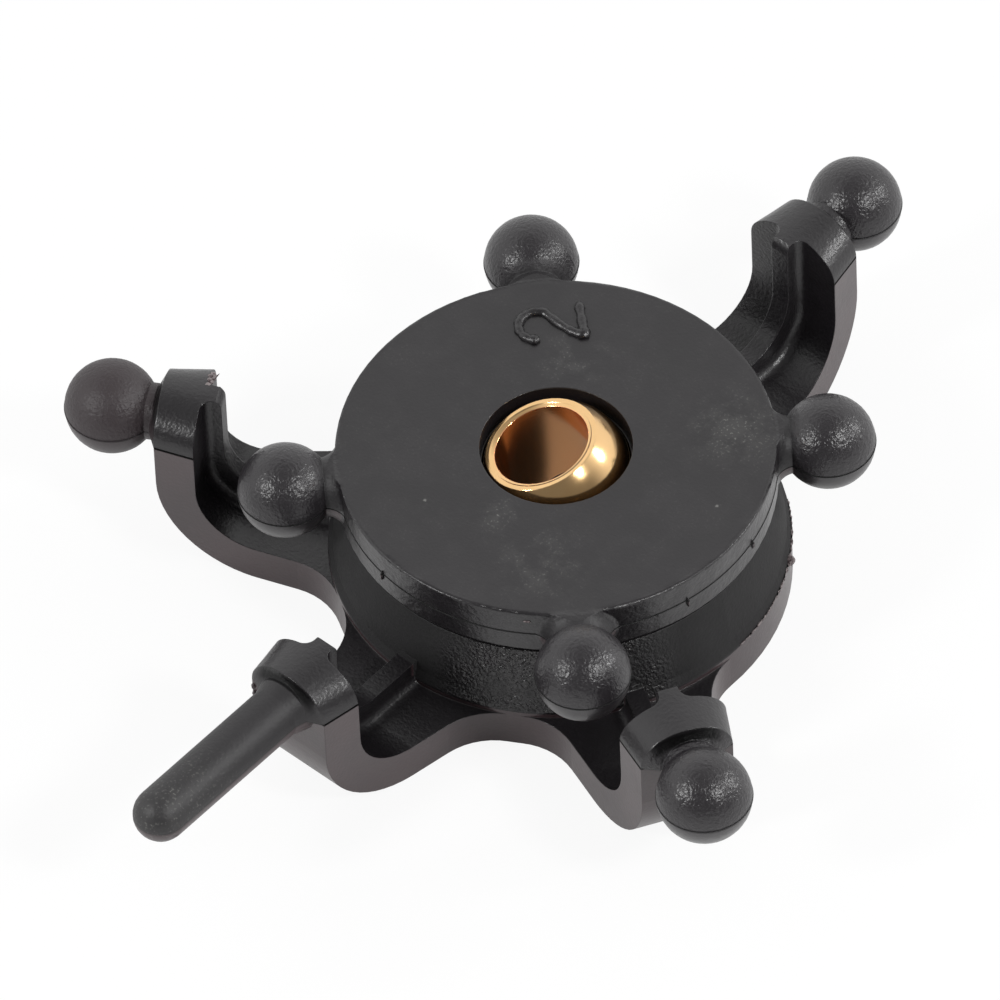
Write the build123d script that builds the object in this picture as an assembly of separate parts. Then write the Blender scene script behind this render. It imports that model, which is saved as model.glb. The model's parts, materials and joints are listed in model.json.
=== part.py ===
from build123d import *
import os
from math import radians, sqrt, tan

# Helicopter swashplate, in millimetres. The origin is the centre of the pivot ball, +Z is the spin axis,
# and the guide pin points to -Y.

# --- Main shaft and pivot ball ---
shaft_bore_diameter = 3.08
pivot_ball_diameter = 4.86
pivot_ball_length = 3.2          # between its two end faces, along the bore
pivot_ball_lip = 0.05            # how far the bore's mouth is rounded in from each end face
pivot_lean = 17.2                # degrees from upright, as it lies at rest
pivot_lean_azimuth = 220.4       # degrees: the way that the top of the bore leans
seat_clearance = 0.025           # pivot ball in its spherical seat, radial

# --- Link balls: one size, all centred in one plane ---
link_ball_diameter = 3.0
link_plane = 0.5                 # height above the pivot ball's centre
link_neck_diameter = 1.8

# --- Rotor plate ---
rotor_diameter = 13.8
rotor_above_plane = 0.94
rotor_below_plane = 0.8
rotor_edge_radius = 0.1
rotor_hole_diameter = 4.8
rotor_link_radius = 8.5
rotor_link_count = 4
rotor_link_azimuth = 46.8
rotor_flare_radius = 0.7         # concave round where each neck grows out of the rim

# --- Bearing ---
bearing_bore = 8.0
bearing_diameter = 12.0
bearing_width = 3.5
bearing_ball_diameter = 1.0
bearing_ball_count = 12
bearing_groove_clearance = 0.02
race_wall = 0.5                  # thickness of each race's land
shield_thickness = 0.15
shield_recess = 0.12
shield_gap = 0.08                # between a shield and the inner race
cage_wall = 0.4
cage_height = 1.3
cage_pocket_clearance = 0.04
press_interference = 0.005       # on each radius of a press fit

# --- Hub, ball seat and what holds them ---
seat_diameter = 6.4
seat_above = 0.75                # top of the ball seat above the pivot ball's centre
seat_below = 1.2
seat_slit = 0.4
seat_turn_clearance = 0.04       # ball seat in the hub, radial
seat_end_clearance = 0.05
retainer_bore = 5.1
retainer_length = 1.2
retaining_ring_diameter = 9.4
retaining_ring_thickness = 0.2
shoulder_diameter = 9.2          # foot of the disc that bears on the inner race

# --- Fixed plate: cup and skirt ---
plate_gap = 0.15                 # between the rotor disc and the cup
cup_diameter = 14.24             # just above the flare
cup_top_diameter = 13.6
cup_flare_height = 0.35          # where the cup widens into the skirt
bearing_depth = 0.1              # bearing's top face below the cup's rim
lip_thickness = 0.35
lip_bore = 10.4
skirt_diameter = 14.54
skirt_height = 1.48

# --- Arms: a thick plate that runs out level, then bends up into a boss, with a rib on its inside ---
arm_azimuths = {"back": 90, "left": 210, "front": 330}
pin_azimuth = 270
fixed_link_radius = 14.2
arm_reach = 12.55                # outer face of the boss, from the axis
arm_thickness = 1.32
arm_bend_radius = 3.25           # outside of the bend
arm_tip_half_width = 1.5
arm_taper_angle = 10.2           # degrees: each side's lean to the arm's middle line
arm_root_radius = 2.2            # plan round from an arm into the skirt
rib_width = 0.65
rib_height = 0.81                # above the level stretch of the plate
rib_upright_height = 0.63        # above the upright stretch, inside the boss
rib_bend_radius = 1.65
rib_corner_radius = 0.5          # at the top of the rib
rib_foot_radius = 0.35           # concave round between the rib and the plate
boss_height = 1.24               # crest above the link plane
boss_trim = 0.11                 # what the dome takes off the top of the rib
boss_nose_length = 0.26          # short cone on the boss's outer face
boss_nose_drop = 0.55

# --- Guide pin ---
guide_pin_diameter = 1.74
guide_pin_reach = 19.28
guide_pin_root_diameter = 2.1    # foot of the cone where the pin meets the boss
guide_pin_root_length = 0.62

# --- Figures worked out from the sizes above ---
arm_taper = tan(radians(arm_taper_angle))
rotor_top = link_plane + rotor_above_plane
rotor_bottom = link_plane - rotor_below_plane
cup_top = rotor_bottom - plate_gap
bearing_top = cup_top - bearing_depth
bearing_bottom = bearing_top - bearing_width
bearing_middle = (bearing_top + bearing_bottom) / 2
skirt_bottom = bearing_bottom - lip_thickness
skirt_top = skirt_bottom + skirt_height
hub_bottom = bearing_bottom - retaining_ring_thickness
pocket_roof = seat_above + seat_end_clearance
retainer_top = -seat_below - seat_end_clearance
pitch_radius = (bearing_bore + bearing_diameter) / 4
hub_bore = seat_diameter / 2 + seat_turn_clearance
rib_top = link_plane + boss_height + boss_trim


def ring(outer, inner, bottom, top):
    """A plain ring about Z, given by its radii and heights."""
    height = top - bottom
    body = Cylinder(outer, height) - Cylinder(inner, 2 * height)
    return Pos(0, 0, (bottom + top) / 2) * body


def turned(shape, azimuth):
    """The shape, drawn along +X, turned to an azimuth about Z."""
    return Rot(0, 0, azimuth) * shape


def radial_rod(diameter, start, end):
    """A round rod along +X, in the plane of the link balls."""
    middle = (start + end) / 2
    return Pos(middle, 0, link_plane) * Rot(0, 90, 0) * Cylinder(diameter / 2, end - start)


def link_ball(centre_radius, root):
    """A link ball on its neck, along +X; the neck starts at the root radius, inside its parent."""
    ball = Pos(centre_radius, 0, link_plane) * Sphere(link_ball_diameter / 2)
    return ball + radial_rod(link_neck_diameter, root, centre_radius)


def bearing_ball_azimuths():
    """Where the rolling balls lie round the axis."""
    step = 360 / bearing_ball_count
    return [step * (i + 0.5) for i in range(bearing_ball_count)]


def race_groove():
    """The ring-shaped space that the rolling balls run in."""
    groove = Torus(pitch_radius, bearing_ball_diameter / 2 + bearing_groove_clearance)
    return Pos(0, 0, bearing_middle) * groove


def outer_race():
    land = bearing_diameter / 2 - race_wall
    return ring(bearing_diameter / 2, land, bearing_bottom, bearing_top) - race_groove()


def inner_race():
    land = bearing_bore / 2 + race_wall
    return ring(land, bearing_bore / 2, bearing_bottom, bearing_top) - race_groove()


def bearing_shield(top):
    """A shield that fills the gap between the races; top is the height of its upper face."""
    outer = bearing_diameter / 2 - race_wall + press_interference
    inner = bearing_bore / 2 + race_wall + shield_gap
    return ring(outer, inner, top - shield_thickness, top)


def bearing_cage():
    """A ring with a round pocket for each rolling ball."""
    cage = ring(
        pitch_radius + cage_wall / 2,
        pitch_radius - cage_wall / 2,
        bearing_middle - cage_height / 2,
        bearing_middle + cage_height / 2,
    )
    pocket_radius = bearing_ball_diameter / 2 + cage_pocket_clearance
    pocket = Pos(pitch_radius, 0, bearing_middle) * Rot(0, 90, 0) * Cylinder(pocket_radius, 2 * cage_wall)
    for azimuth in bearing_ball_azimuths():
        cage -= turned(pocket, azimuth)
    return cage


def bearing_ball(azimuth):
    return turned(Pos(pitch_radius, 0, bearing_middle), azimuth) * Sphere(bearing_ball_diameter / 2)


def pivot_ball():
    """The brass ball: a sphere with two flat ends and a bore with rounded mouths."""
    half = pivot_ball_length / 2
    rim = sqrt((pivot_ball_diameter / 2) ** 2 - half**2)
    bore = shaft_bore_diameter / 2
    ball = Sphere(pivot_ball_diameter / 2) & Cylinder(pivot_ball_diameter, pivot_ball_length)
    ball -= Cylinder(bore, 2 * pivot_ball_length)
    mouth = Cone(bore, (bore + rim) / 2, pivot_ball_lip)
    lip_middle = half - pivot_ball_lip / 2
    ball -= Pos(0, 0, lip_middle) * mouth
    ball -= Rot(180, 0, 0) * Pos(0, 0, lip_middle) * mouth
    return Rot(0, 0, pivot_lean_azimuth) * Rot(0, pivot_lean, 0) * ball


def ball_seat():
    """A split ring, free to turn in the hub, with a spherical bore for the pivot ball."""
    seat = ring(seat_diameter / 2, shaft_bore_diameter / 4, -seat_below, seat_above)
    seat -= Sphere(pivot_ball_diameter / 2 + seat_clearance)
    slit = Box(seat_diameter, seat_slit, 4 * seat_diameter)
    return seat - Pos(seat_diameter / 2, 0, 0) * slit


def seat_retainer():
    """A bush pressed into the hub, which holds the ball seat up."""
    outer = hub_bore + press_interference
    return ring(outer, retainer_bore / 2, retainer_top - retainer_length, retainer_top)


def retaining_ring():
    """A thin steel ring pushed onto the hub's end, under the bearing's inner race."""
    inner = bearing_bore / 2 - press_interference
    return ring(retaining_ring_diameter / 2, inner, hub_bottom, bearing_bottom)


def rotor_flare():
    """The trumpet where a neck, along +X, grows out of the rim, cut level with the disc's two faces."""
    neck = link_neck_diameter / 2
    mouth = neck + rotor_flare_radius
    foot = sqrt((rotor_diameter / 2) ** 2 - mouth**2)
    tip = foot + rotor_flare_radius
    curve = CenterArc((tip, mouth), rotor_flare_radius, 180, 90)
    outline = Polyline((tip, neck), (tip, 0), (foot - neck, 0), (foot - neck, mouth), (foot, mouth))
    trumpet = Pos(0, 0, link_plane) * revolve(make_face([curve, outline]), Axis.X)
    thickness = rotor_top - rotor_bottom
    slab = Pos(0, 0, (rotor_top + rotor_bottom) / 2) * Box(2 * rotor_diameter, rotor_diameter, thickness)
    return trumpet & slab


def rotor_link():
    """A link ball on its neck, along +X, with the flare that carries it."""
    return link_ball(rotor_link_radius, rotor_diameter / 2 - link_neck_diameter) + rotor_flare()


def rotor_plate():
    disc = ring(rotor_diameter / 2, rotor_hole_diameter / 2, rotor_bottom, rotor_top)
    rim_edges = disc.edges().filter_by(GeomType.CIRCLE).sort_by(SortBy.RADIUS)[-2:]
    disc = fillet(rim_edges, rotor_edge_radius)
    for i in range(rotor_link_count):
        disc += turned(rotor_link(), rotor_link_azimuth + 360 / rotor_link_count * i)
    hub_radius = bearing_bore / 2 + press_interference
    hub = Pos(0, 0, (hub_bottom + pocket_roof) / 2) * Cylinder(hub_radius, pocket_roof - hub_bottom)
    shoulder = ring(shoulder_diameter / 2, hub_bore, bearing_top, rotor_bottom)
    pocket = Pos(0, 0, (hub_bottom + pocket_roof) / 2) * Cylinder(hub_bore, pocket_roof - hub_bottom)
    hole = Cylinder(rotor_hole_diameter / 2, 4 * rotor_top)
    return disc + shoulder + hub - pocket - hole


def arm_half_width(x):
    """Half the arm's width at a distance from the axis."""
    return arm_tip_half_width + arm_taper * (arm_reach - x)


def arm_plan():
    """The arm's outline seen from above, along +X: tapered sides that round out into the skirt."""
    slope = sqrt(1 + arm_taper**2)
    normal = Vector(arm_taper, 1) / slope
    along = Vector(1, -arm_taper) / slope
    side = normal.dot(Vector(arm_reach, arm_tip_half_width))
    skirt = skirt_diameter / 2
    reach = sqrt((skirt + arm_root_radius) ** 2 - (side + arm_root_radius) ** 2)
    centre = normal * (side + arm_root_radius) + along * reach
    on_side = centre - normal * arm_root_radius
    on_skirt = centre * (skirt / (skirt + arm_root_radius))
    middle = centre - (normal + centre.normalized()).normalized() * arm_root_radius
    tip = Vector(arm_reach, arm_tip_half_width)
    upper = [Line((0, 0), on_skirt), ThreePointArc(on_skirt, middle, on_side), Line(on_side, tip)]
    lower = [mirror(edge, Plane.XZ) for edge in upper]
    end = Line(tip, Vector(tip.X, -tip.Y))
    return make_face([*upper, end, *lower])


def side_line(depth):
    """The arm's side line at a depth under its outer face: level, round the bend, then up past the crest."""
    centre_x = arm_reach - arm_bend_radius
    centre_z = skirt_bottom + arm_bend_radius
    radius = arm_bend_radius - depth
    level = Line((0, centre_z - radius), (centre_x, centre_z - radius))
    bend = CenterArc((centre_x, centre_z), radius, 270, 90)
    rise = Line((centre_x + radius, centre_z), (centre_x + radius, rib_top))
    return [level, bend, rise]


def side_plate():
    """The plate that follows the arm's side line, wider than the arm."""
    outer = side_line(0)
    inner = side_line(arm_thickness)
    start = Line(inner[0] @ 0, outer[0] @ 0)
    stop = Line(outer[-1] @ 1, inner[-1] @ 1)
    face = make_face([*outer, stop, *inner, start])
    return extrude(Plane.XZ * face, skirt_diameter / 2, both=True)


def arm_rib():
    """The rib along the middle of the plate, with a wider bend than the plate's."""
    inside = side_line(arm_thickness / 2)
    level_z = skirt_bottom + arm_thickness + rib_height
    upright_x = arm_reach - arm_thickness - rib_upright_height
    bend_x = upright_x - rib_bend_radius
    bend_z = level_z + rib_bend_radius
    corner_z = rib_top - rib_corner_radius
    level = Line((0, level_z), (bend_x, level_z))
    bend = CenterArc((bend_x, bend_z), rib_bend_radius, 270, 90)
    rise = Line((upright_x, bend_z), (upright_x, corner_z))
    corner = CenterArc((upright_x + rib_corner_radius, corner_z), rib_corner_radius, 180, -90)
    top = Line(corner @ 1, inside[-1] @ 1)
    start = Line(inside[0] @ 0, level @ 0)
    face = make_face([*inside, top, corner, rise, bend, level, start])
    return extrude(Plane.XZ * face, rib_width / 2, both=True)


def rib_foot(body, y):
    """The edges where the rib's flank at that Y meets the plate."""
    wanted = [(Plane.XZ * line) @ 0.5 + Vector(0, y, 0) for line in side_line(arm_thickness)]
    return [edge for edge in body.edges() if any((edge @ 0.5 - point).length < 0.001 for point in wanted)]


def half_oval(sections):
    """A rod along +X, above the link plane only, lofted through (x, half width, height) sections."""
    faces = []
    for x, half_width, height in sections:
        section_plane = Plane((x, 0, link_plane), x_dir=(0, 1, 0), z_dir=(1, 0, 0))
        faces.append(section_plane * Ellipse(half_width, height))
    rod = loft(faces, ruled=True)
    start, stop = sections[0][0], sections[-1][0]
    room = Box(stop - start, skirt_diameter, 2 * boss_height)
    return rod & (Pos((start + stop) / 2, 0, link_plane + boss_height) * room)


def boss_dome():
    """The round top of the boss, carried inwards over the rib."""
    inner = arm_reach - 2 * arm_thickness
    return half_oval(
        [
            (inner, arm_half_width(inner), boss_height),
            (arm_reach, arm_tip_half_width, boss_height),
        ]
    )


def boss_nose():
    """The short cone that tapers from the boss's outer face towards the neck."""
    tip = arm_tip_half_width
    return half_oval(
        [
            (arm_reach, tip, boss_height),
            (arm_reach + boss_nose_length, tip - boss_nose_drop, boss_height - boss_nose_drop),
        ]
    )


def arm():
    """One arm along +X: the plate, its rib and the boss, without what the boss carries."""
    body = side_plate() + arm_rib()
    for y in (rib_width / 2, -rib_width / 2):
        body = fillet(rib_foot(body, y), rib_foot_radius)
    room = Pos(0, 0, skirt_bottom) * extrude(arm_plan(), link_plane - skirt_bottom)
    return (body & (room + boss_dome())) + boss_nose()


def fixed_link():
    """A link ball with its neck, on the end of an arm."""
    return link_ball(fixed_link_radius, arm_reach - arm_thickness / 2)


def guide_pin():
    """The pin that slides in the guide and keeps the fixed plate from turning."""
    root = arm_reach - arm_thickness / 2
    shank_end = guide_pin_reach - guide_pin_diameter / 2
    pin = radial_rod(guide_pin_diameter, root, shank_end)
    pin += Pos(shank_end, 0, link_plane) * Sphere(guide_pin_diameter / 2)
    foot = Cone(guide_pin_root_diameter / 2, guide_pin_diameter / 2, guide_pin_root_length)
    foot_middle = arm_reach + guide_pin_root_length / 2
    return pin + Pos(foot_middle, 0, link_plane) * Rot(0, 90, 0) * foot


def fixed_plate():
    plate = ring(skirt_diameter / 2, lip_bore / 2, skirt_bottom, skirt_top)
    for azimuth in arm_azimuths.values():
        plate += turned(arm() + fixed_link(), azimuth)
    plate += turned(arm() + guide_pin(), pin_azimuth)
    flare_top = skirt_top + cup_flare_height
    flare = Cone(skirt_diameter / 2, cup_diameter / 2, cup_flare_height)
    plate += Pos(0, 0, (skirt_top + flare_top) / 2) * flare
    wall = Cone(cup_diameter / 2, cup_top_diameter / 2, cup_top - flare_top)
    plate += Pos(0, 0, (flare_top + cup_top) / 2) * wall
    seat_radius = bearing_diameter / 2 - press_interference
    plate -= Pos(0, 0, bearing_bottom) * Cylinder(
        seat_radius, 2 * bearing_width, align=(Align.CENTER, Align.CENTER, Align.MIN)
    )
    return plate - Cylinder(lip_bore / 2, 4 * skirt_diameter)


def all_parts():
    """Every piece by its name."""
    parts = {
        "fixed_plate": fixed_plate(),
        "rotor_plate": rotor_plate(),
        "pivot_ball": pivot_ball(),
        "ball_seat": ball_seat(),
        "seat_retainer": seat_retainer(),
        "retaining_ring": retaining_ring(),
        "bearing_outer_race": outer_race(),
        "bearing_inner_race": inner_race(),
        "bearing_cage": bearing_cage(),
        "bearing_shield_top": bearing_shield(bearing_top - shield_recess),
        "bearing_shield_bottom": bearing_shield(bearing_bottom + shield_recess + shield_thickness),
    }
    for number, azimuth in enumerate(bearing_ball_azimuths(), start=1):
        parts[f"bearing_ball_{number:02d}"] = bearing_ball(azimuth)
    return parts


if __name__ == "__main__":
    os.makedirs("parts", exist_ok=True)
    for name, shape in all_parts().items():
        export_step(shape, f"parts/{name}.step")
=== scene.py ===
"""Finishes, small mouldings and a studio for a helicopter swashplate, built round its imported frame."""

import json
from functools import reduce
from math import cos, pi, radians, sin
from random import Random

import bmesh
import bpy
from bpy.props import FloatProperty, FloatVectorProperty, PointerProperty
from bpy.types import Operator, Panel, PropertyGroup
from mathutils import Matrix, Vector


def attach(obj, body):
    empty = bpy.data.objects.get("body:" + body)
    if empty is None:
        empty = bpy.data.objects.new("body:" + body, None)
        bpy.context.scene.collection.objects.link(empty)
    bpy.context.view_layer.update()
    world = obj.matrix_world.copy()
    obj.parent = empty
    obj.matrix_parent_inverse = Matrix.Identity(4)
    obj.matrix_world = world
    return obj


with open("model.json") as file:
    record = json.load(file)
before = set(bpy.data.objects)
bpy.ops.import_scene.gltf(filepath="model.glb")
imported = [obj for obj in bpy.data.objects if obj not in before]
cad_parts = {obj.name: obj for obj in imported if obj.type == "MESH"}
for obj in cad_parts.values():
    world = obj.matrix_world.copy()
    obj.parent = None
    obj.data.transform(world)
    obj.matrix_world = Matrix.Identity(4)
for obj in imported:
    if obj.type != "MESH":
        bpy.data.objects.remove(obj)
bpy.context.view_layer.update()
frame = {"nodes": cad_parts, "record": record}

bl_info = {
    "name": "Helicopter swashplate finish",
    "version": (1, 0, 0),
    "blender": (4, 5, 0),
    "location": "3D View > Sidebar > Swashplate",
    "description": "Finishes, small mouldings and a studio for a helicopter swashplate",
    "category": "Object",
}

MM = 0.001
MOUNTS = {mount["name"]: mount for mount in frame["record"]["mounts"]}
ROTOR_LINKS = [name for name in MOUNTS if name.startswith("rotor_link_ball")]
FIXED_LINKS = ["back_link_ball", "left_link_ball", "front_link_ball"]
SHIELDS = ["bearing_shield_top", "bearing_shield_bottom"]
STEEL_RINGS = ["bearing_outer_race", "bearing_inner_race", *SHIELDS, "retaining_ring"]
STEEL_BALLS = [name for name in frame["nodes"] if name.startswith("bearing_ball")]

# Main lengths, in metres. The parting plane of both mouldings holds the centres of all link balls.
LINK_PLANE = MOUNTS["guide_pin"]["pos_m"][2]
LINK_BALL_RADIUS = 1.5 * MM
BORE_AXIS = Vector(MOUNTS["shaft_bore"]["axis"])
BORE_RADIUS = 1.54 * MM
DISC_TOP = LINK_PLANE + 0.94 * MM
RIM_RADIUS = 6.9 * MM
SKIRT_RADIUS = 7.27 * MM
SKIRT_TOP = -2.92 * MM
PLATE_BOTTOM = MOUNTS["bottom_face"]["pos_m"][2]

# Soft steps of the finishes, in millimetres: where each starts and where it is complete. First by radius,
DISC_EDGE = (6.8, 6.9)
RIM_EDGE = (6.92, 6.98)
WAVY_START = (6.7, 6.9)
WAVY_END = (6.95, 7.5)
CUP_EDGE = (7.23, 7.26)
RIB_START = (7.3, 7.4)
ARM_END = (11.9, 12.0)
BOSS_NOSE = (12.6, 12.7)
PIN_WEAR = (14.5, 18.5)
BORE_LIP = (1.63, 1.71)
# then by height,
RIM_FOOT = (-0.4, -0.3)
BALLS_FOOT = (-1.1, -1.0)
# then by the distance from an arm's middle plane,
RIB_SIDE = (0.95, 1.05)
CREASE_END = (0.8, 1.25)
# and last by the distance from the parting plane.
FIXED_LINE = (0.03, 0.065)
ROTOR_LINE = (0.018, 0.04)

# Bands of radius that hold one feature, in millimetres, and the height where the cup's wall ends.
CUP_WALL = (6.7, 7.26)
CUP_WALL_TOP = -0.45
RIM_BAND = (6.87, 6.96)
FLARES = (6.96, 7.6)
ROTOR_BALLS = (7.4, 10.3)
CREASES = (12.58, 12.74)

# Soft steps of a face's lean: 1 looks straight along a direction, and -1 straight back.
LEANING_BACK = (-0.25, -0.15)
LEANING_ON = (0.15, 0.25)

# Azimuths round the spin axis, in degrees. The guide pin's arm lies in one plane with the back arm.
ARM_AZIMUTHS = (90, 210, 330)
LEFT_ARM_AZIMUTH = 210
PIN_AZIMUTH = -90
ERODED_AZIMUTH = -50

# Pale marks on the disc: x, y and reach, in millimetres.
RUBBED_PATCHES = ((-1.9, 3.1, 1.5), (3.8, 4.1, 2.0), (2.9, -3.8, 2.0), (0.5, -3.3, 0.9))
DUST_SPECKS = ((-1.65, -4.29, 0.08), (5.46, 1.37, 0.08))

WHITE = (1, 1, 1, 1)


# --- Node maths and finishes ---


class Channel:
    """A number that changes over a surface. An expression on it adds the Math nodes that work it out."""

    def __init__(self, finish, socket):
        self.finish = finish
        self.socket = socket

    def maths(self, operation, *values):
        return self.finish.node("ShaderNodeMath", {"operation": operation}, dict(enumerate(values)))

    def __add__(self, other):
        return self.maths("ADD", self, other)

    def __radd__(self, other):
        return self.maths("ADD", other, self)

    def __sub__(self, other):
        return self.maths("SUBTRACT", self, other)

    def __rsub__(self, other):
        return self.maths("SUBTRACT", other, self)

    def __mul__(self, other):
        return self.maths("MULTIPLY", self, other)

    def __rmul__(self, other):
        return self.maths("MULTIPLY", other, self)

    def __pow__(self, other):
        return self.maths("POWER", self, other)

    def __abs__(self):
        return self.maths("ABSOLUTE", self)

    def either(self, other):
        """The higher of two numbers, which joins two masks."""
        return self.maths("MAXIMUM", self, other)

    def lower_of(self, other):
        return self.maths("MINIMUM", self, other)

    def rise(self, start, end):
        """0 below start, 1 above end, and a smooth step between."""
        ports = {0: self, 1: start, 2: end, 3: 0.0, 4: 1.0}
        return self.finish.node("ShaderNodeMapRange", {"interpolation_type": "SMOOTHSTEP"}, ports)

    def fall(self, start, end):
        """1 below start, 0 above end, and a smooth step between."""
        return 1 - self.rise(start, end)

    def band(self, low, high, soft):
        """1 between low and high, with soft ends."""
        return self.rise(low - soft, low + soft) * self.fall(high - soft, high + soft)


class Nodes:
    """The nodes of one material or of the world."""

    def __init__(self, tree):
        self.tree = tree

    def connect(self, socket, value):
        if isinstance(value, Channel):
            self.tree.links.new(value.socket, socket)
        else:
            socket.default_value = value

    def node(self, kind, settings=None, ports=None, output=0):
        """Any node: its type, its settings, the values or channels of its sockets, and the output wanted."""
        node = self.tree.nodes.new(kind)
        for label, value in (settings or {}).items():
            setattr(node, label, value)
        for port, value in (ports or {}).items():
            self.connect(node.inputs[port], value)
        return Channel(self, node.outputs[output])

    def parts_of(self, vector):
        """The x, y and z of a vector."""
        split = self.node("ShaderNodeSeparateXYZ", {}, {0: vector}).socket.node
        return [Channel(self, socket) for socket in split.outputs]

    def measure(self, operation, *vectors):
        """A number worked out from vectors, such as a length."""
        ports = dict(enumerate(vectors))
        return self.node("ShaderNodeVectorMath", {"operation": operation}, ports, output="Value")

    def mix(self, factor, *colours):
        """A colour between two, each a channel or its red, green and blue."""
        first, second = [colour if isinstance(colour, Channel) else (*colour, 1.0) for colour in colours]
        ports = {0: factor, 6: first, 7: second}
        return self.node("ShaderNodeMix", {"data_type": "RGBA"}, ports, output=2)


class Finish(Nodes):
    """A material with one Principled surface, and the nodes that feed it."""

    def __init__(self, name, **constants):
        self.material = bpy.data.materials.new(name)
        self.material.use_nodes = True
        super().__init__(self.material.node_tree)
        self.surface = self.tree.nodes["Principled BSDF"]
        for label, value in constants.items():
            self.feed(label.replace("_", " ").title().replace("Ior", "IOR"), value)

    def feed(self, label, value):
        """Sets a socket of the surface, or links a channel to it."""
        self.connect(self.surface.inputs[label], value)

    def place(self):
        """The point on the piece, in millimetres from the pivot ball's centre."""
        point = self.node("ShaderNodeTexCoord", output="Object")
        return self.node("ShaderNodeVectorMath", {"operation": "SCALE"}, {0: point, 3: 1 / MM})

    def noise(self, vector, grain, detail=2.0, roughness=0.5):
        """Soft noise whose lumps are about one grain across."""
        ports = {"Vector": vector, "Scale": 1 / grain, "Detail": detail, "Roughness": roughness}
        return self.node("ShaderNodeTexNoise", {}, ports)

    def worms(self, vector, grain, width):
        """Thin winding crests, such as the rims of spark-erosion craters."""
        return abs(self.noise(vector, grain, detail=1.0) - 0.5).fall(0.0, width)

    def relief(self, height, depth, edge=None):
        """Raises the surface by a height channel; edge rounds the corners of the solid first."""
        ports = {"Height": height, "Strength": 1.0, "Distance": depth}
        if edge:
            ports["Normal"] = self.node("ShaderNodeBevel", {"samples": 8}, {"Radius": edge})
        self.feed("Normal", self.node("ShaderNodeBump", {}, ports))


class MouldedSurface:
    """Where a point of a moulding lies, in millimetres, which way it faces, and what is there.

    Each plate's own class adds what moulded_plastic draws. upper, line, shut, eroded, rubbed, sooty and
    brown_ball are masks, dull adds to the roughness, and depth and swell are the heights of the grain and of
    broad forms, in grain heights.
    """

    def __init__(self, finish):
        self.finish = finish
        self.point = finish.place()
        self.x, self.y, self.z = finish.parts_of(self.point)
        self.radius = (self.x * self.x + self.y * self.y) ** 0.5
        facing = finish.parts_of(finish.node("ShaderNodeTexCoord", output="Normal"))
        self.facing_up = facing[2]
        self.facing_out = (self.x * facing[0] + self.y * facing[1]) * self.radius ** -1
        self.above = self.over(LINK_PLANE)
        self.off_link_plane = abs(self.z - LINK_PLANE / MM)
        self.cloud = finish.noise(self.point, grain=2.2, detail=3.0)
        self.mottle = finish.noise(self.point, grain=0.5, detail=4.0, roughness=0.65)
        # What stands out of the fixed plate's bosses is the guide pin, or a link ball on its neck.
        ends, near_pin = self.radius.rise(*BOSS_NOSE), self.near_azimuth(PIN_AZIMUTH, core=8, fade=12)
        self.pin = ends * near_pin
        rotor_balls, fixed_balls = self.radius.band(*ROTOR_BALLS, soft=0.1), ends * (1 - near_pin)
        self.balls = self.z.rise(*BALLS_FOOT) * rotor_balls.either(fixed_balls)

    def over(self, height):
        """1 above a height, with a crisp edge."""
        return self.z.rise(height / MM - 0.01, height / MM + 0.01)

    def near_azimuth(self, azimuth, core, fade):
        """1 within core degrees of an azimuth round the spin axis, and 0 beyond fade degrees."""
        along = self.x * cos(radians(azimuth)) + self.y * sin(radians(azimuth))
        return (along * self.radius ** -1).rise(cos(radians(fade)), cos(radians(core)))


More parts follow.
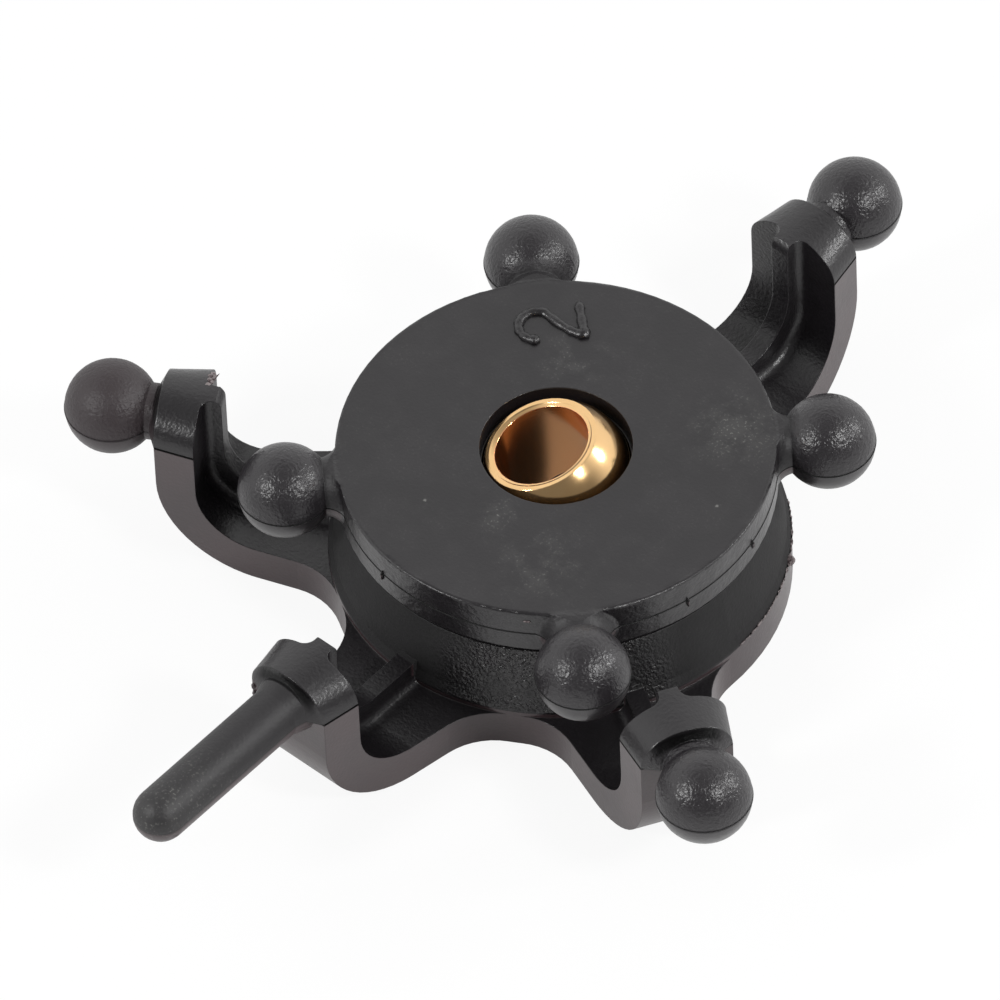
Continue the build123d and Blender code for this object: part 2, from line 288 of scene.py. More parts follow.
class FixedPlateSurface(MouldedSurface):
    """The cup and its skirt, and the arms with three link balls and the guide pin."""

    def __init__(self, finish):
        super().__init__(finish)
        balls, pin = self.balls, self.pin
        pockets, crease, wall = self.arm_pockets(), self.creases(), self.cup_wall()
        self.upper = self.upper_half(pockets)
        # The parting line stays off the pockets, is fainter on the balls and hardly shows on the pin.
        self.line = self.off_link_plane.fall(*FIXED_LINE) * (1 - pockets) * (1 - balls * 0.6 - pin * 0.85)
        self.shut = (self.line * (1 - balls * 0.5)).either(crease * 0.55)
        patch = self.near_azimuth(ERODED_AZIMUTH, core=20, fade=36)
        self.eroded = wall * patch * (self.cloud.rise(0.4, 0.58) * 0.5 + 0.5)
        worn = (self.mottle.rise(0.5, 0.75) + 0.6) * self.radius.rise(*PIN_WEAR)
        # Pale specks: painted glints on the eroded patch of the cup's wall, and real wear at the pin's end.
        self.rubbed_and_glints = self.eroded * 0.5 + pin * worn
        # Painted shade: the cup's wall is darkened under the disc, except on its eroded patch, and each
        # crease round a boss's nose goes near black.
        self.painted_shade = ((wall - self.eroded) * 0.6).either(crease * 0.9)
        self.brown_ball = balls * self.near_azimuth(LEFT_ARM_AZIMUTH, core=10, fade=14)
        self.dull = wall * 0.5 - self.eroded * 0.66 + pin * 0.2 + self.brown_ball * 0.2
        self.coat = (1 - self.upper) * 0.3
        self.depth = 0.3 + self.upper * 0.3
        self.swell = crease * -2.5

    def off_arm_line(self):
        """The distance to the nearest arm's upright middle plane."""
        turns = [radians(azimuth) for azimuth in ARM_AZIMUTHS]
        return reduce(Channel.lower_of, [abs(self.x * sin(turn) - self.y * cos(turn)) for turn in turns])

    def arm_pockets(self):
        """1 on the ribs, and on the faces of the arms that look back at the cup."""
        inward = self.facing_out.fall(*LEANING_BACK)
        level = self.facing_up.rise(*LEANING_BACK) * self.facing_out.fall(*LEANING_ON)
        rib = self.off_arm_line().fall(*RIB_SIDE) * level * self.radius.rise(*RIB_START)
        return self.radius.fall(*ARM_END) * inward.either(rib)

    def upper_half(self, pockets):
        """1 where the upper half of the mould shaped the plate."""
        cup = self.radius.fall(*CUP_EDGE) * self.over(SKIRT_TOP)
        upward = self.facing_up.rise(*LEANING_ON) * self.radius.fall(*ARM_END)
        return self.above.either(cup).either(upward.either(pockets))

    def cup_wall(self):
        return self.z.band(SKIRT_TOP / MM, CUP_WALL_TOP, soft=0.02) * self.radius.band(*CUP_WALL, soft=0.03)

    def creases(self):
        """1 in the shallow groove round the foot of each boss's nose."""
        return self.radius.band(*CREASES, soft=0.05) * self.off_arm_line().fall(*CREASE_END) * self.above


class RotorPlateSurface(MouldedSurface):
    """The disc, its rim, the link balls and the necks that grow out of the rim in flares."""

    def __init__(self, finish):
        super().__init__(finish)
        disc, numeral = self.disc_face(-0.03, -0.01), self.disc_face(0.01, 0.04)
        rim = self.radius.band(*RIM_BAND, soft=0.02) * self.z.rise(*RIM_FOOT)
        self.upper = self.above.either(self.radius.fall(*RIM_EDGE))
        self.line = self.off_link_plane.fall(*ROTOR_LINE)
        self.shut = self.line * 0.25
        self.eroded = self.painted_shade = self.brown_ball = 0.0
        self.rubbed_and_glints = self.rubbed_patches() * disc * 1.4 + rim * self.mottle.rise(0.5, 0.7) * 0.25
        self.dull = self.radius.band(*FLARES, soft=0.05) * 0.2
        self.coat = (1 - self.upper) * 0.3 + rim * 0.2
        self.depth = 0.15 + self.upper * (1 - disc) * 0.45 + numeral * 0.9
        # The rim is a little wavy, from just inside the disc's edge and fading out along the flares.
        uneven = finish.noise(self.point, grain=1.1, detail=4.0, roughness=0.6) - 0.5
        self.swell = uneven * self.radius.rise(*WAVY_START) * self.radius.fall(*WAVY_END) * 5.0

    def disc_face(self, start, end):
        """1 on the disc, inside its rim, above a soft step in height that is given from its top face."""
        return self.z.rise(DISC_TOP / MM + start, DISC_TOP / MM + end) * self.radius.fall(*DISC_EDGE)

    def spot(self, x, y, reach):
        """1 at a spot on the disc, fading out at its reach."""
        return (((self.x - x) ** 2 + (self.y - y) ** 2) ** 0.5).fall(0.0, reach)

    def rubbed_patches(self):
        """Where handling has worn the disc pale, and two specks of dust."""
        ragged = self.finish.noise(self.point, grain=1.1, detail=5.0, roughness=0.7).rise(0.42, 0.62)
        patches = reduce(Channel.either, [self.spot(*patch) for patch in RUBBED_PATCHES])
        dust = reduce(Channel.either, [self.spot(*speck) for speck in DUST_SPECKS])
        return (patches + 0.12) * ragged + dust * 8


def moulded_plastic(name, plate_surface, colours, sizes):
    """Black glass-filled nylon: spark-eroded by the mould's upper half, smooth and paler by the lower."""
    finish = Finish(name, specular_ior_level=0.58, coat_roughness=0.3, coat_ior=1.5)
    place = plate_surface(finish)
    point, cloud, line = place.point, place.cloud, place.line
    upper_balls = place.balls * place.upper
    clouded = (cloud.rise(0.35, 0.7) * 0.3).either(place.balls * 0.95)
    speck = finish.noise(point, grain=0.09, detail=1.0).rise(0.58, 0.72)
    colour = finish.mix(place.upper, colours.plastic_below, colours.plastic)
    colour = finish.mix(clouded, colour, colours.plastic_grey)
    colour = finish.mix(place.brown_ball * 0.4, colour, colours.plastic_below)
    # Pale specks: scuffs and wear, and painted glints on the cup wall's eroded patch.
    colour = finish.mix((speck * 0.4 + 0.08) * place.rubbed_and_glints, colour, colours.plastic_dust_and_glints)
    # Painted shade: the parting lines' grooves, the creases and the shaded cup wall take a near-black colour.
    finish.feed("Base Color", finish.mix(line.either(place.painted_shade), colour, colours.plastic_painted_shade))
    finish.feed("Coat Weight", place.coat * (1 - line))
    # The plastic isn't metal: with a near-black colour this takes the shine out of the lines and creases, as
    # painted shade in their grooves.
    finish.feed("Metallic", place.shut)
    uneven_shine = (cloud - 0.5) * 0.12 + (place.mottle - 0.5) * 0.1
    finish.feed("Roughness", 0.34 + place.dull + uneven_shine + line * 0.4)
    grain = sizes.grain / MM
    coarse = finish.noise(point, grain * 1.4, detail=1.0)
    crests = finish.worms(point, grain * 2.4, width=0.09)
    depth = place.depth + place.eroded * sizes.wall_grain + upper_balls * sizes.ball_grain
    height = coarse * depth + crests * (place.eroded + upper_balls * 0.3) * 0.6 - line + place.swell
    finish.relief(height, sizes.grain_height, sizes.edge_round)
    return finish.material


def polished_brass(colours, sizes):
    """Turned brass, with fine rings round the bore's axis; the bore is duller, and its brass is painted
    redder and brighter for the light that bounces about inside it.
    """
    finish = Finish("polished_brass", metallic=1.0)
    point = finish.place()
    along = finish.measure("DOT_PRODUCT", point, BORE_AXIS)
    length = finish.measure("LENGTH", point)
    off_axis = (length * length - along * along) ** 0.5
    bore = off_axis.fall(BORE_RADIUS / MM + 0.01, BORE_RADIUS / MM + 0.04)
    ring_place = finish.node("ShaderNodeCombineXYZ", {}, {2: along})
    rings = finish.noise(ring_place, sizes.turning / MM, detail=3.0, roughness=0.7)
    cloud = finish.noise(point, grain=1.0, detail=3.0)
    colour = finish.mix(cloud.rise(0.3, 0.75) * 0.3, colours.brass, colours.brass_dark)
    # Painted reflection: inside the bore the brass takes a redder, brighter colour.
    finish.feed("Base Color", finish.mix(bore, colour, colours.brass_bore_reflection))
    finish.feed("Roughness", 0.12 + rings * 0.08 + bore * 0.02)
    lip = off_axis.rise(*BORE_LIP)
    finish.relief(rings * 0.06 + lip * 0.9, depth=0.02 * MM, edge=sizes.edge_round)
    return finish.material


def ground_steel(colours, sizes):
    """Bearing steel, ground in rings about the spin axis."""
    finish = Finish("ground_steel", metallic=1.0)
    x, y, z = finish.parts_of(finish.place())
    radius = (x * x + y * y) ** 0.5
    ring_place = finish.node("ShaderNodeCombineXYZ", {}, {0: radius, 2: z})
    rings = finish.noise(ring_place, sizes.turning / MM, detail=3.0, roughness=0.7)
    finish.feed("Base Color", finish.mix(rings.rise(0.3, 0.8) * 0.5, colours.steel, colours.steel_dark))
    finish.feed("Roughness", 0.2 + rings * 0.16)
    finish.relief(rings, depth=0.001 * MM, edge=sizes.edge_round)
    return finish.material


def natural_nylon(colours, sizes):
    """Undyed bearing plastic, a little cloudy."""
    finish = Finish("natural_nylon", roughness=0.4)
    point = finish.place()
    cloud = finish.noise(point, grain=0.8, detail=3.0)
    finish.feed("Base Color", finish.mix(cloud, colours.nylon, colours.nylon_shade))
    finish.relief(finish.noise(point, sizes.grain / MM), depth=0.004 * MM, edge=sizes.edge_round)
    return finish.material


def torn_plastic(colours, sizes):
    """The black plastic where it was torn thin: paler and dull."""
    finish = Finish("torn_plastic", specular_ior_level=0.5)
    pale = finish.noise(finish.place(), grain=0.12)
    finish.feed("Base Color", finish.mix(pale.rise(0.36, 0.58), colours.plastic_below, colours.plastic_torn))
    finish.feed("Roughness", 0.4 + pale * 0.2)
    finish.relief(pale, sizes.grain_height)
    return finish.material


def black_acetal(colours, sizes):
    """The ball seat's slippery black plastic, with a faint burnish."""
    finish = Finish("black_acetal", roughness=0.35)
    cloud = finish.noise(finish.place(), grain=0.6, detail=3.0)
    finish.feed("Base Color", finish.mix(cloud, colours.seat, colours.plastic))
    finish.relief(cloud, depth=0.004 * MM, edge=sizes.edge_round)
    return finish.material


# --- Small mouldings ---


def new_piece(name, build, body, material):
    """A mesh piece from a function that fills a bmesh. It rides on a body."""
    shape = bmesh.new()
    build(shape)
    bmesh.ops.recalc_face_normals(shape, faces=shape.faces)
    mesh = bpy.data.meshes.new(name)
    shape.to_mesh(mesh)
    shape.free()
    mesh.materials.append(material)
    mesh.shade_smooth()
    piece = bpy.data.objects.new(name, mesh)
    bpy.context.scene.collection.objects.link(piece)
    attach(piece, body)


def sweep(shape, sections, closed):
    """Joins equal sections, each a list of points, into one skin, with end caps if it isn't closed."""
    loops = [[shape.verts.new(point) for point in section] for section in sections]
    count = len(loops[0])
    pairs = list(zip(loops, loops[1:]))
    if closed:
        pairs.append((loops[-1], loops[0]))
    for near, far in pairs:
        for i in range(count):
            j = (i + 1) % count
            shape.faces.new((near[i], near[j], far[j], far[i]))
    if not closed:
        shape.faces.new(reversed(loops[0]))
        shape.faces.new(loops[-1])


def ridge_section(point, outward, width, height):
    """Four points of a low ridge that stands out of a surface, sunk a little into it."""
    across = Vector((0, 0, width / 2))
    low = point - outward * height
    crest = point + outward * height
    top = across * 0.3
    return [low - across, crest - top, crest + top, low + across]


def ring_ridge(shape, centre, radius, width, height, start=0.0, end=2 * pi, ragged=None):
    """A low ridge round an upright axis, from one angle to another. A random draw makes it ragged."""
    closed = end - start > 2 * pi - 1e-6
    stride = 0.12 * MM
    steps = max(12, int((end - start) * radius / stride))
    sections = []
    for i in range(steps if closed else steps + 1):
        angle = start + (end - start) * i / steps
        outward = Vector((cos(angle), sin(angle), 0))
        stand = height * (ragged.uniform(-1.0, 1.6) if ragged else 1.0)
        sections.append(ridge_section(centre + outward * radius, outward, width, stand))
    sweep(shape, sections, closed)


def burr(shape, centre, azimuth, size, draw):
    """A small torn lump of flash or of a broken gate, with its reaches outwards, along and up."""
    outward = polar(1, azimuth, 0)
    axes = (outward, Vector((-outward.y, outward.x, 0)), Vector((0, 0, 1)))
    unevenness = 0.14
    made = bmesh.ops.create_icosphere(shape, subdivisions=3, radius=1.0)
    for vert in made["verts"]:
        lump = 1 + draw.uniform(-unevenness, unevenness)
        steps = [axis * share * reach * lump for axis, share, reach in zip(axes, vert.co, size)]
        vert.co = centre + sum(steps, Vector())


def horn(shape, root, tip, width):
    """A thin bent spike, from its root to its tip."""
    along = (tip - root).normalized()
    side = along.orthogonal().normalized()
    other = along.cross(side)
    corners = 7
    rays = [side * cos(turn) + other * sin(turn) for turn in (2 * pi * i / corners for i in range(corners))]
    taper = ((0, 1.0), (0.35, 0.75), (0.7, 0.4), (1, 0.08))
    sections = []
    for share, wide in taper:
        middle = root.lerp(tip, share) + side * width * share * (1 - share)
        sections.append([middle + ray * width * wide for ray in rays])
    sweep(shape, sections, closed=False)


def polar(radius, azimuth, height, aside=0.0):
    """A point at a radius and azimuth round the spin axis, moved aside along the tangent."""
    along = Vector((cos(radians(azimuth)), sin(radians(azimuth)), 0))
    return along * radius + Vector((-along.y, along.x, 0)) * aside + Vector((0, 0, height))


# --- What a user may change ---


class SwashplateColours(PropertyGroup):
    """Colours of the finishes."""

    plastic: FloatVectorProperty(
        name="Black plastic", description="Mouldings above the parting plane", subtype="COLOR",
        default=(0.0088, 0.0075, 0.0088), min=0, max=1,
    )
    plastic_grey: FloatVectorProperty(
        name="Plastic cloud", description="Paler clouds in the mouldings", subtype="COLOR",
        default=(0.0172, 0.0150, 0.0172), min=0, max=1,
    )
    plastic_below: FloatVectorProperty(
        name="Plastic below", description="Mouldings below the parting plane", subtype="COLOR",
        default=(0.0400, 0.0230, 0.0255), min=0, max=1,
    )
    # Pale specks: scuffs and wear, and painted glints on the cup's wall.
    plastic_dust_and_glints: FloatVectorProperty(
        name="Scuffs", description="Pale rubbed specks", subtype="COLOR",
        default=(0.16, 0.16, 0.15), min=0, max=1,
    )
    plastic_torn: FloatVectorProperty(
        name="Torn plastic", description="Flash and broken gates", subtype="COLOR",
        default=(0.20, 0.17, 0.17), min=0, max=1,
    )
    # Painted shade, near black, for the parting lines' grooves, the creases and the cup's wall under the
    # disc.
    plastic_painted_shade: FloatVectorProperty(
        name="Grooves", description="Parting lines and creases", subtype="COLOR",
        default=(0.002, 0.002, 0.002), min=0, max=1,
    )
    brass: FloatVectorProperty(
        name="Brass", description="Pivot ball", subtype="COLOR",
        default=(0.84, 0.55, 0.27), min=0, max=1,
    )
    brass_dark: FloatVectorProperty(
        name="Brass shade", description="Darker clouds in the brass", subtype="COLOR",
        default=(0.70, 0.43, 0.17), min=0, max=1,
    )
    # Painted reflection: the brass inside the bore, redder and brighter for the light that bounces about in
    # it.
    brass_bore_reflection: FloatVectorProperty(
        name="Bore", description="The brass inside the bore", subtype="COLOR",
        default=(0.95, 0.50, 0.24), min=0, max=1,
    )
    steel: FloatVectorProperty(
        name="Steel", description="Bearing", subtype="COLOR",
        default=(0.55, 0.55, 0.57), min=0, max=1,
    )
    steel_dark: FloatVectorProperty(
        name="Steel shade", description="Darker rings in the steel", subtype="COLOR",
        default=(0.36, 0.36, 0.38), min=0, max=1,
    )
    nylon: FloatVectorProperty(
        name="Nylon", description="Bearing cage", subtype="COLOR",
        default=(0.66, 0.62, 0.52), min=0, max=1,
    )
    nylon_shade: FloatVectorProperty(
        name="Nylon shade", description="Darker clouds in the nylon", subtype="COLOR",
        default=(0.55, 0.50, 0.40), min=0, max=1,
    )
    seat: FloatVectorProperty(
        name="Ball seat", description="Black plastic round the pivot ball", subtype="COLOR",
        default=(0.014, 0.011, 0.009), min=0, max=1,
    )


class SwashplateSizes(PropertyGroup):
    """Sizes of the surface detail and the small mouldings."""

    grain: FloatProperty(
        name="Grain", description="Width of the spark-eroded grain", unit="LENGTH",
        default=0.08 * MM, precision=6,
    )
    grain_height: FloatProperty(
        name="Grain height", description="Depth of the grain", unit="LENGTH",
        default=0.02 * MM, precision=6,
    )
    ball_grain: FloatProperty(
        name="Ball grain", description="How much deeper the grain is on the link balls", default=0.7,
    )
    wall_grain: FloatProperty(
        name="Cup wall grain", description="How much deeper the grain is on the front of the cup's wall",
        default=4.8,
    )
    edge_round: FloatProperty(
        name="Edge round", description="Radius that the solids' edges look rounded to", unit="LENGTH",
        default=0.05 * MM, precision=6,
    )
    turning: FloatProperty(
        name="Turning marks", description="Pitch of the rings left by turning", unit="LENGTH",
        default=0.05 * MM, precision=6,
    )
    line_width: FloatProperty(
        name="Parting line width", description="Width of the fine ridge", unit="LENGTH",
        default=0.06 * MM, precision=6,
    )
    line_height: FloatProperty(
        name="Parting line height", description="How far the fine ridge stands out", unit="LENGTH",
        default=0.015 * MM, precision=6,
    )
    numeral_height: FloatProperty(
        name="Numeral height", description="Height of the raised cavity numeral", unit="LENGTH",
        default=2.0 * MM, precision=6,
    )
    numeral_stroke: FloatProperty(
        name="Numeral stroke", description="Width of the numeral's stroke", unit="LENGTH",
        default=0.32 * MM, precision=6,
    )
    numeral_radius: FloatProperty(
        name="Numeral place", description="Foot of the numeral, from the spin axis", unit="LENGTH",
        default=4.64 * MM, precision=6,
    )
    numeral_azimuth: FloatProperty(
        name="Numeral azimuth", description="Where its foot lies round the disc", subtype="ANGLE",
        default=radians(120.3),
    )
    numeral_turn: FloatProperty(
        name="Numeral turn", description="Direction of its base line", subtype="ANGLE",
        default=radians(139.1),
    )


class SwashplateStudio(PropertyGroup):
    """The floor, the lamps and the camera."""

    aim: FloatVectorProperty(
        name="Aim", description="Point that the camera looks at", subtype="TRANSLATION",
        default=(-0.971 * MM, -1.621 * MM, -0.434 * MM), precision=6,
    )
    azimuth: FloatProperty(
        name="Azimuth", description="Camera's turn from -Y towards +X", subtype="ANGLE",
        default=radians(43.539),
    )
    elevation: FloatProperty(
        name="Elevation", description="Camera's height above the horizon", subtype="ANGLE",
        default=radians(49.404),
    )
    roll: FloatProperty(
        name="Roll", description="Camera's lean to its right", subtype="ANGLE",
        default=radians(2.672),
    )
    distance: FloatProperty(
        name="Distance", description="Camera to aim point", unit="LENGTH", default=0.58871,
    )
    lens: FloatProperty(
        name="Lens", description="Focal length, in millimetres on a 36 mm sensor", default=679.3,
    )
    floor_size: FloatProperty(
        name="Floor", description="Width of the floor", unit="LENGTH", default=1.2,
    )
    floor_gap: FloatProperty(
        name="Floor gap", description="From the part's underside down to the floor", unit="LENGTH",
        default=0.02 * MM, precision=6,
    )
    lamp_distance: FloatProperty(
        name="Lamp distance", description="Lamps to aim point", unit="LENGTH", default=0.30,
    )
    lamp_size: FloatProperty(
        name="Lamp size", description="Width of each soft lamp", unit="LENGTH", default=0.05,
    )
    lamp_power: FloatProperty(
        name="Lamp power", description="Power of the stronger front lamp, in watts", default=0.42,
    )
    world_level: FloatProperty(
        name="World level", description="Strength of the pale walls round the part", default=1.1,
    )
    near_share: FloatProperty(
        name="Near wall", description="Share of that strength on the camera's side", default=0.2,
    )
    overhead_share: FloatProperty(
        name="Ceiling", description="Share of that strength overhead", default=0.4,
    )
    floor_gloss: FloatProperty(
        name="Floor in reflections", description="How white reflections show the floor, over its own shade",
        default=0.25,
    )


# --- Operators ---


def dress(nodes, material):
    """Puts a finish on carried-over nodes."""
    for name in nodes:
        for material_slot in frame["nodes"][name].material_slots:
            material_slot.material = material


class SWASHPLATE_OT_mouldings(Operator):
    """Finish the black mouldings"""

    bl_idname = "swashplate.mouldings"
    bl_label = "Black mouldings"

    def execute(self, context):
        colours, sizes = context.scene.swashplate_colours, context.scene.swashplate_sizes
        fixed_plastic = moulded_plastic("fixed_plate_plastic", FixedPlateSurface, colours, sizes)
        rotor_plastic = moulded_plastic("rotor_plate_plastic", RotorPlateSurface, colours, sizes)
        dress(["fixed_plate"], fixed_plastic)
        dress(["rotor_plate", "seat_retainer"], rotor_plastic)
        return {"FINISHED"}


class SWASHPLATE_OT_pivot_ball(Operator):
    """Finish the brass pivot ball"""

    bl_idname = "swashplate.pivot_ball"
    bl_label = "Brass pivot ball"

    def execute(self, context):
        colours, sizes = context.scene.swashplate_colours, context.scene.swashplate_sizes
        dress(["pivot_ball"], polished_brass(colours, sizes))
        return {"FINISHED"}


class SWASHPLATE_OT_bearing(Operator):
    """Finish the bearing and the ball seat"""

    bl_idname = "swashplate.bearing"
    bl_label = "Bearing and seat"

    def execute(self, context):
        colours, sizes = context.scene.swashplate_colours, context.scene.swashplate_sizes
        dress(STEEL_RINGS + STEEL_BALLS, ground_steel(colours, sizes))
        dress(["bearing_cage"], natural_nylon(colours, sizes))
        dress(["ball_seat"], black_acetal(colours, sizes))
        return {"FINISHED"}


def numeral_line(height):
    """The stroke of a 2, from its hook to the end of its foot; the foot's corner is at the origin."""
    arch, foot = height * 0.297, height * 0.67
    middle, bend = Vector((arch, height - arch)), Vector((height * 0.05, height * 0.223))
    turns = [radians(180 - 10 * i) for i in range(22)]
    line = [middle + arch * Vector((cos(turn), sin(turn))) for turn in turns]
    neck = line[-1]
    for share in (i / 10 for i in range(1, 11)):
        line.append(neck * (1 - share) ** 2 + bend * 2 * share * (1 - share))
    return line + [Vector((foot * i / 12, 0)) for i in range(1, 13)]


class SWASHPLATE_OT_numeral(Operator):
    """Raise the cavity numeral on the rotor disc"""

    bl_idname = "swashplate.numeral"
    bl_label = "Cavity numeral"

    def execute(self, context):
        sizes = context.scene.swashplate_sizes
        line = numeral_line(sizes.numeral_height)
        corner = line.index(min(line, key=lambda place: place.length))
        draw, unevenness = Random(3), 0.13
        foot = Matrix.Rotation(sizes.numeral_azimuth, 4, "Z") @ Vector((sizes.numeral_radius, 0, DISC_TOP))
        turn = Matrix.Rotation(sizes.numeral_turn, 4, "Z")
        curve = bpy.data.curves.new("cavity_numeral", "CURVE")
        curve.dimensions = "3D"
        curve.bevel_depth = sizes.numeral_stroke / 2
        curve.bevel_resolution = 4
        curve.use_fill_caps = True
        spline = curve.splines.new("POLY")
        spline.points.add(len(line) - 1)
        for i, (point, place) in enumerate(zip(spline.points, line)):
            point.co = (*(foot + turn @ place.to_3d()), 1.0)
            # The stroke narrows at its ends, and is thicker at its hook and at the foot's corner.
            if i in (0, len(line) - 1):
                point.radius = 0.55
            else:
                blob = 0.25 if abs(i - corner) < 2 or i in (1, 2) else 0.0
                point.radius = 1 + blob + draw.uniform(-unevenness, unevenness)
        curve.materials.append(bpy.data.materials["rotor_plate_plastic"])
        piece = bpy.data.objects.new("cavity_numeral", curve)
        context.scene.collection.objects.link(piece)
        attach(piece, "rotor_plate")
        return {"FINISHED"}


class SWASHPLATE_OT_parting_lines(Operator):
    """Run the mould's fine parting ridges round the rim and the link balls"""

    bl_idname = "swashplate.parting_lines"
    bl_label = "Parting lines"

    def execute(self, context):
        sizes = context.scene.swashplate_sizes
        width, height = sizes.line_width, sizes.line_height
        plane = Vector((0, 0, LINK_PLANE))
        rotor_plastic = bpy.data.materials["rotor_plate_plastic"]
        fixed_plastic = bpy.data.materials["fixed_plate_plastic"]

        def rim(shape):
            ring_ridge(shape, plane, RIM_RADIUS, width, height)

        new_piece("parting_line_rim", rim, "rotor_plate", rotor_plastic)
        carriers = (("rotor_plate", rotor_plastic, ROTOR_LINKS), ("fixed_plate", fixed_plastic, FIXED_LINKS))
        for body, plastic, links in carriers:
            for name in links:
                centre = Vector(MOUNTS[name]["pos_m"])

                def ball(shape):
                    ring_ridge(shape, centre, LINK_BALL_RADIUS, width, height)

                new_piece(f"parting_line_{name}", ball, body, plastic)
        return {"FINISHED"}


class SWASHPLATE_OT_flash(Operator):
    """Leave the small bits of flash and the broken gates"""

    bl_idname = "swashplate.flash"
    bl_label = "Flash and gates"

    def execute(self, context):
        colours, sizes = context.scene.swashplate_colours, context.scene.swashplate_sizes
        draw = Random(7)
        rotor_plastic = bpy.data.materials["rotor_plate_plastic"]
        fixed_plastic = bpy.data.materials["fixed_plate_plastic"]
        torn = torn_plastic(colours, sizes)

        def nicks(shape):
            for azimuth in (-100.3, -12.6, 13.0, 80.0, 167.0):
                spot = polar(RIM_RADIUS, azimuth, LINK_PLANE - 0.1 * MM)
                burr(shape, spot, azimuth, Vector((0.08, 0.05, 0.21)) * MM, draw)

        new_piece("rim_nicks", nicks, "rotor_plate", rotor_plastic)

        def rim_gate(shape):
            azimuth = -56.2
            spot = polar(RIM_RADIUS, azimuth, DISC_TOP - 0.36 * MM)
            burr(shape, spot, azimuth, Vector((0.04, 0.13, 0.03)) * MM, draw)

        new_piece("rim_gate", rim_gate, "rotor_plate", torn)

        def skirt_flash(shape):
            foot = Vector((0, 0, SKIRT_TOP + 0.03 * MM))
            start, end, azimuth = radians(2), radians(52), 32.3
            width, height = 0.08 * MM, 0.03 * MM
            ring_ridge(shape, foot, SKIRT_RADIUS, width, height, start, end, ragged=draw)
            spot = polar(SKIRT_RADIUS, azimuth, SKIRT_TOP)
            burr(shape, spot, azimuth, Vector((0.17, 0.2, 0.13)) * MM, draw)

        new_piece("skirt_flash", skirt_flash, "fixed_plate", torn)

        def torn_gate(shape):
            """Lumps in a row up the side of the left boss, each aside, up and how big, and one horn."""
            lumps = ((-1.0, 1.42, 0.8), (-0.8, 1.52, 1.0), (-0.58, 1.6, 0.9), (-0.38, 1.66, 0.7))
            for aside, height, big in lumps:
                spot = polar(11.16 * MM, LEFT_ARM_AZIMUTH, height * MM, aside * MM)
                burr(shape, spot, LEFT_ARM_AZIMUTH, Vector((0.16, 0.15, 0.1)) * big * MM, draw)
            root = polar(11.1 * MM, LEFT_ARM_AZIMUTH, 1.62 * MM, -0.66 * MM)
            tip = polar(10.86 * MM, LEFT_ARM_AZIMUTH, 1.86 * MM, -0.74 * MM)
            horn(shape, root, tip, 0.06 * MM)

        new_piece("torn_gate", torn_gate, "fixed_plate", torn)

        def boss_flash(shape):
            """Two lumps on the guide pin's boss, each at its radius, up, aside and how big."""
            for radius, height, aside, big in ((12.54, 0.16, -1.44, 1.0), (12.58, -0.12, -1.4, 0.8)):
                spot = polar(radius * MM, PIN_AZIMUTH, height * MM, aside * MM)
                burr(shape, spot, PIN_AZIMUTH, Vector((0.09, 0.08, 0.12)) * big * MM, draw)

        new_piece("boss_flash", boss_flash, "fixed_plate", fixed_plastic)
        return {"FINISHED"}


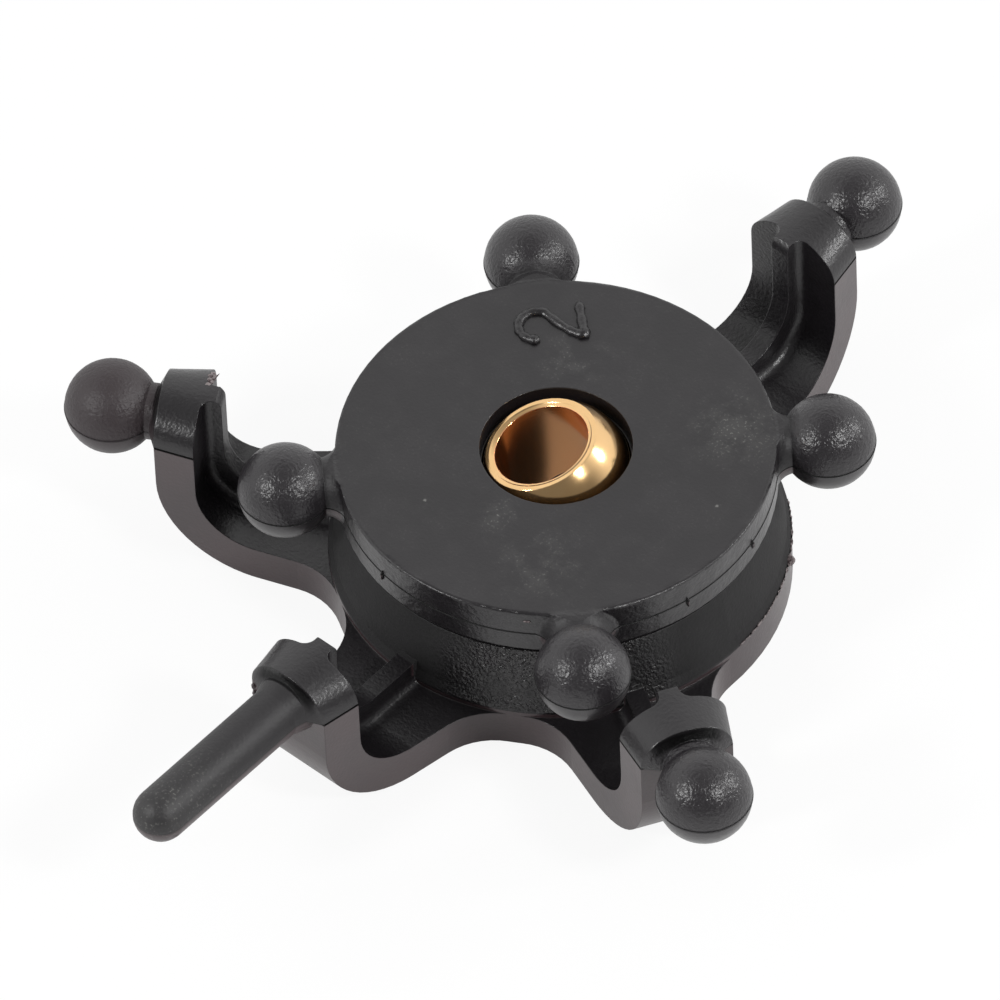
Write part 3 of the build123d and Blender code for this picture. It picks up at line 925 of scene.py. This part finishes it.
class SWASHPLATE_OT_studio(Operator):
    """Set up the floor, the lamps, the surroundings and the camera"""

    bl_idname = "swashplate.studio"
    bl_label = "Studio"

    def execute(self, context):
        studio = context.scene.swashplate_studio
        turn = Matrix.Rotation(studio.azimuth, 3, "Z") @ Matrix.Rotation(-studio.elevation, 3, "X")
        back = turn @ Vector((0, -1, 0))
        roll = Matrix.Rotation(-studio.roll, 3, back)
        right, up = roll @ turn @ Vector((1, 0, 0)), roll @ turn @ Vector((0, 0, 1))
        axes = Matrix((right, up, back)).transposed()
        self.add_camera(context, studio, axes)
        self.add_lamps(context, studio, axes)
        self.add_floor(context, studio)
        self.set_world(context, studio)
        context.scene.view_settings.view_transform = "Standard"
        return {"FINISHED"}

    def add_camera(self, context, studio, axes):
        data = bpy.data.cameras.new("studio_camera")
        data.sensor_width = 36
        data.lens = studio.lens
        data.clip_start, data.clip_end = 0.01, 10
        camera = bpy.data.objects.new("studio_camera", data)
        stand = Vector(studio.aim) + axes.col[2] * studio.distance
        camera.matrix_world = Matrix.Translation(stand) @ axes.to_4x4()
        context.scene.collection.objects.link(camera)
        context.scene.camera = camera

    def add_lamps(self, context, studio, axes):
        """Soft lamps: each has a direction, as across, above and towards the camera, and a share of power."""
        plan = {
            "lamp_right": ((0.54, 0.10, 0.84), 0.85),
            "lamp_left": ((-0.72, 0.07, 0.69), 0.8),
            "lamp_behind": ((0.87, 0.41, 0.26), 0.5),
        }
        for name, (place, share) in plan.items():
            data = bpy.data.lights.new(name, "AREA")
            data.shape = "DISK"
            data.size = studio.lamp_size
            data.energy = studio.lamp_power * share
            lamp = bpy.data.objects.new(name, data)
            direction = (axes @ Vector(place)).normalized()
            lamp.location = Vector(studio.aim) + direction * studio.lamp_distance
            lamp.rotation_mode = "QUATERNION"
            lamp.rotation_quaternion = direction.to_track_quat("Z", "Y")
            context.scene.collection.objects.link(lamp)

    def add_floor(self, context, studio):
        mesh = bpy.data.meshes.new("floor")
        half = studio.floor_size / 2
        corners = [(-half, -half), (half, -half), (half, half), (-half, half)]
        height = PLATE_BOTTOM - studio.floor_gap
        mesh.from_pydata([(x, y, height) for x, y in corners], [], [(0, 1, 2, 3)])
        floor = bpy.data.objects.new("floor", mesh)
        context.scene.collection.objects.link(floor)
        finish = Finish("pale_floor", roughness=0.9)
        tone = finish.noise(finish.place(), grain=20.0)
        finish.feed("Base Color", finish.mix(tone, (0.84, 0.84, 0.84), (0.88, 0.88, 0.88)))
        white = finish.node("ShaderNodeEmission", {}, {"Color": WHITE, "Strength": 1.0})
        camera, glossy, glass = self.paths(finish)
        # A tenth of the floor's own shade is left to the camera, which keeps the part's shadow.
        share = (camera * 0.9).either(glossy * studio.floor_gloss).either(glass)
        surface = Channel(finish, finish.surface.outputs[0])
        shown = finish.node("ShaderNodeMixShader", {}, {0: share, 1: surface, 2: white})
        finish.connect(finish.tree.nodes["Material Output"].inputs["Surface"], shown)
        mesh.materials.append(finish.material)

    def paths(self, nodes):
        """Masks of what the camera, a reflection and glass see."""
        outputs = nodes.node("ShaderNodeLightPath").socket.node.outputs
        return [Channel(nodes, outputs[f"Is {kind} Ray"]) for kind in ("Camera", "Glossy", "Transmission")]

    def set_world(self, context, studio):
        """White walls all round, dimmer overhead and on the camera's side."""
        world = bpy.data.worlds.new("studio_world")
        world.use_nodes = True
        context.scene.world = world
        nodes = Nodes(world.node_tree)
        background = nodes.tree.nodes["Background"]
        background.inputs["Color"].default_value = WHITE
        x, y, z = nodes.parts_of(nodes.node("ShaderNodeTexCoord", output="Generated"))
        near = x * sin(studio.azimuth) - y * cos(studio.azimuth)
        low, high = radians(48), radians(72)
        overhead = z.rise(sin(low), sin(high))
        level = studio.world_level * (1 - near.rise(-0.1, 0.6) * (1 - studio.near_share))
        level = level * (1 - overhead * (1 - studio.overhead_share))
        camera = self.paths(nodes)[0]
        nodes.connect(background.inputs["Strength"], level.either(camera))


# --- Panel and registration ---


STEPS = (
    SWASHPLATE_OT_mouldings,
    SWASHPLATE_OT_pivot_ball,
    SWASHPLATE_OT_bearing,
    SWASHPLATE_OT_numeral,
    SWASHPLATE_OT_parting_lines,
    SWASHPLATE_OT_flash,
    SWASHPLATE_OT_studio,
)


class SWASHPLATE_PT_sidebar(Panel):
    """The swashplate's steps and what they use"""

    bl_idname = "SWASHPLATE_PT_sidebar"
    bl_label = "Swashplate"
    bl_space_type = "VIEW_3D"
    bl_region_type = "UI"
    bl_category = "Swashplate"

    def draw(self, context):
        for step in STEPS:
            self.layout.operator(step.bl_idname)
        for name, group in GROUPS.items():
            column = self.layout.column(align=True)
            for label in group.__annotations__:
                column.prop(getattr(context.scene, name), label)


GROUPS = {
    "swashplate_colours": SwashplateColours,
    "swashplate_sizes": SwashplateSizes,
    "swashplate_studio": SwashplateStudio,
}
CLASSES = (*GROUPS.values(), *STEPS, SWASHPLATE_PT_sidebar)


def register():
    for cls in CLASSES:
        bpy.utils.register_class(cls)
    for name, group in GROUPS.items():
        setattr(bpy.types.Scene, name, PointerProperty(type=group))


def unregister():
    for name in GROUPS:
        delattr(bpy.types.Scene, name)
    for cls in reversed(CLASSES):
        bpy.utils.unregister_class(cls)


def main():
    register()
    bpy.ops.swashplate.mouldings()
    bpy.ops.swashplate.pivot_ball()
    bpy.ops.swashplate.bearing()
    bpy.ops.swashplate.numeral()
    bpy.ops.swashplate.parting_lines()
    bpy.ops.swashplate.flash()
    bpy.ops.swashplate.studio()


if __name__ == "__main__":
    main()
